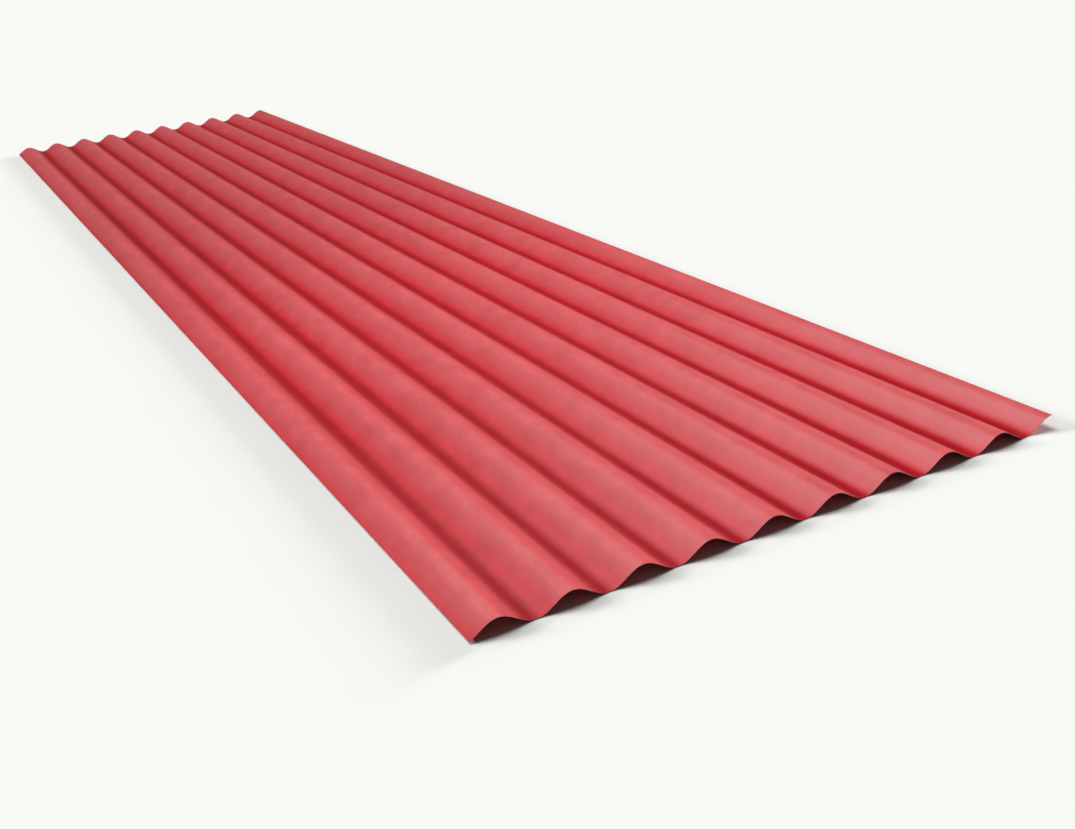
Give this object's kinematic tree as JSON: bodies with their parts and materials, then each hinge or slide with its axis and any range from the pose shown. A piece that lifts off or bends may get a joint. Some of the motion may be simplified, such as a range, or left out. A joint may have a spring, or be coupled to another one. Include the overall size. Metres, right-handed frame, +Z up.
{
  "type": "corrugated metal sheet",
  "caption": "Long thin sheet of painted steel rolled into even round corrugations, laid as roofing or wall cladding, one long edge ending low and the other high.",
  "frame": {"origin": "under the middle of the sheet, on the plane that the bottoms of the corrugations rest on", "axes": "+Y along the sheet's length, with the corrugations; +X across them, from the long edge that ends low to the long edge that ends high; +Z up, the shortest extent"},
  "size_m": [0.7158, 3, 0.0165],
  "materials": {
    "painted_steel": "satin"
  },
  "bodies": {
    "root": {"corrugated_sheet": "painted_steel"}
  },
  "joints": []
}
